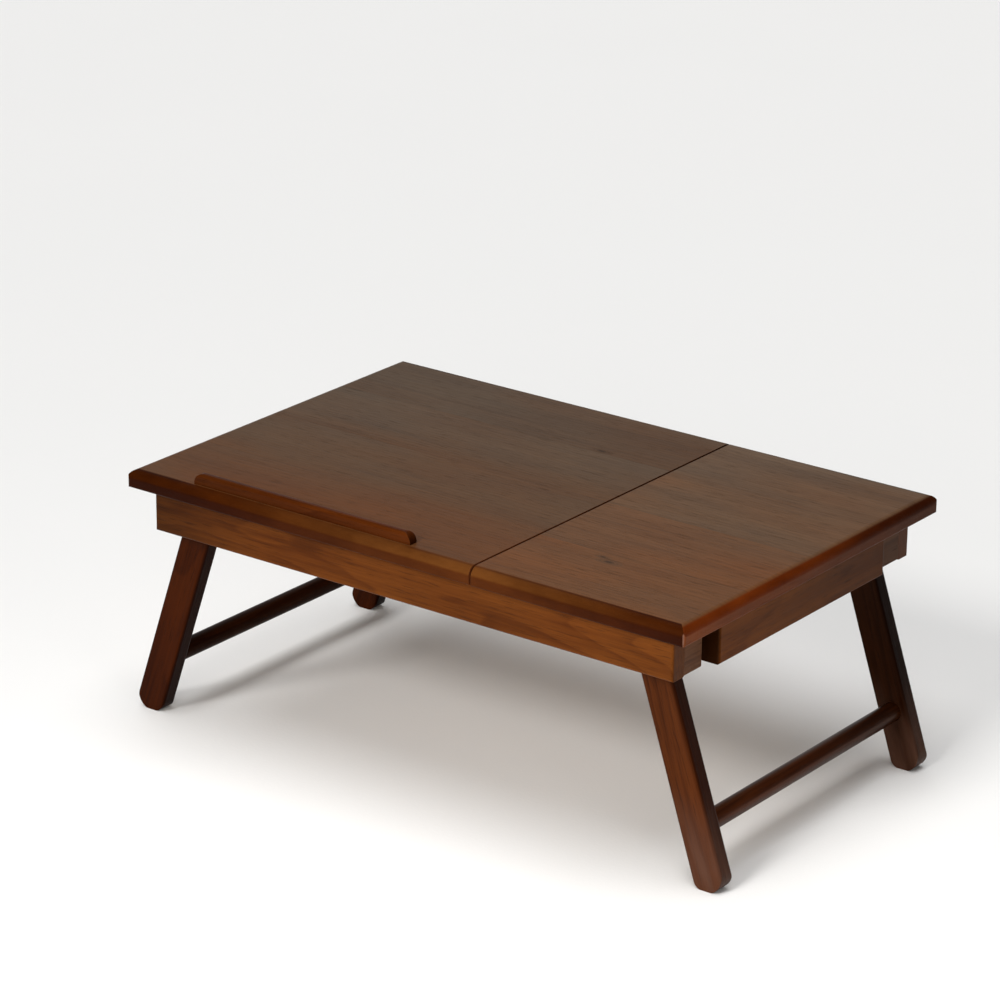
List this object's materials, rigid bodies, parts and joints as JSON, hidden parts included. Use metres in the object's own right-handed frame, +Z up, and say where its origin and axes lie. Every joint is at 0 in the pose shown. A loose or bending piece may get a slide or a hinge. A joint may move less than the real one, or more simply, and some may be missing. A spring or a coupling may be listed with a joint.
{
  "type": "laptop stand with drawer",
  "caption": "Wooden lap desk: tilting top panel with a raised book stop, fixed side panel, end drawer, and splayed leg pairs with stretchers that fold under the tray.",
  "frame": {"origin": "centre of the overall footprint, on the floor that the feet stand on", "axes": "+X along the length toward the drawer end, +Y from the user's front edge to the back edge, +Z up"},
  "size_m": [0.568, 0.35, 0.226],
  "materials": {
    "walnut_finish": "stained walnut, satin lacquer",
    "walnut_dark": "dark stained walnut, satin lacquer",
    "plywood": "bare thin plywood",
    "pale_hardwood": "bare planed hardwood",
    "brass_plate": "stamped brass sheet",
    "steel": "zinc plated steel"
  },
  "bodies": {
    "frame": {"front_rail": "walnut_finish", "back_rail": "walnut_finish", "left_end_rail": "walnut_finish", "end_block_front": "walnut_finish", "end_block_back": "walnut_finish", "cross_rail": "walnut_finish", "base_board": "plywood", "rack_left": "pale_hardwood", "rack_right": "pale_hardwood", "fixed_panel": "walnut_finish", "frame_dowels": "pale_hardwood", "panel_dowels": "pale_hardwood", "cross_rail_screws": "steel", "hinge_left_rail_leaf": "brass_plate", "hinge_left_pin": "steel", "hinge_right_rail_leaf": "brass_plate", "hinge_right_pin": "steel", "hinge_rail_screws": "brass_plate", "pivot_screws": "steel", "pivot_washers": "steel", "pivot_spacers": "steel", "runner_front": "pale_hardwood", "runner_back": "pale_hardwood", "runner_screws": "steel", "drawer_stop": "pale_hardwood", "drawer_stop_screw": "steel"},
    "tilt_panel": {"tilt_panel": "walnut_finish", "book_stop": "walnut_finish", "book_stop_screws": "steel", "hinge_left_panel_leaf": "brass_plate", "hinge_right_panel_leaf": "brass_plate", "hinge_panel_screws": "brass_plate", "prop_bracket_left": "steel", "prop_bracket_right": "steel", "prop_bracket_screws": "steel", "prop_rivets": "steel"},
    "prop": {"prop_arm_left": "steel", "prop_arm_right": "steel", "prop_foot_rod": "steel"},
    "drawer": {"drawer_front": "walnut_finish", "drawer_side_front": "pale_hardwood", "drawer_side_back": "pale_hardwood", "drawer_back": "pale_hardwood", "drawer_bottom": "plywood", "drawer_dowels": "pale_hardwood", "drawer_brads": "steel"},
    "left_legs": {"leg_left_front": "walnut_dark", "leg_left_back": "walnut_dark", "stretcher_left": "walnut_dark"},
    "right_legs": {"leg_right_front": "walnut_dark", "leg_right_back": "walnut_dark", "stretcher_right": "walnut_dark"}
  },
  "joints": [
    {"name": "panel_tilt", "type": "hinge", "parent": "frame", "child": "tilt_panel", "pos_m": [-0.0965, -0.1649, 0.20215], "axis": [1, 0, 0], "range_deg": [0, 35]},
    {"name": "prop_swing", "type": "hinge", "parent": "tilt_panel", "child": "prop", "pos_m": [-0.0965, -0.0149, 0.2], "axis": [1, 0, 0], "range_deg": [-80, 0]},
    {"name": "drawer_slide", "type": "slide", "parent": "frame", "child": "drawer", "axis": [1, 0, 0], "range_m": [0, 0.096]},
    {"name": "left_leg_fold", "type": "hinge", "parent": "frame", "child": "left_legs", "pos_m": [-0.21579, 0, 0.176], "axis": [0, -1, 0], "range_deg": [0, 108.5]},
    {"name": "right_leg_fold", "type": "hinge", "parent": "frame", "child": "right_legs", "pos_m": [0.21579, 0, 0.176], "axis": [0, 1, 0], "range_deg": [0, 108.5]}
  ],
  "couplings": [
    {"joint": "prop_swing", "follows": "panel_tilt", "ratio": -2.259}
  ]
}
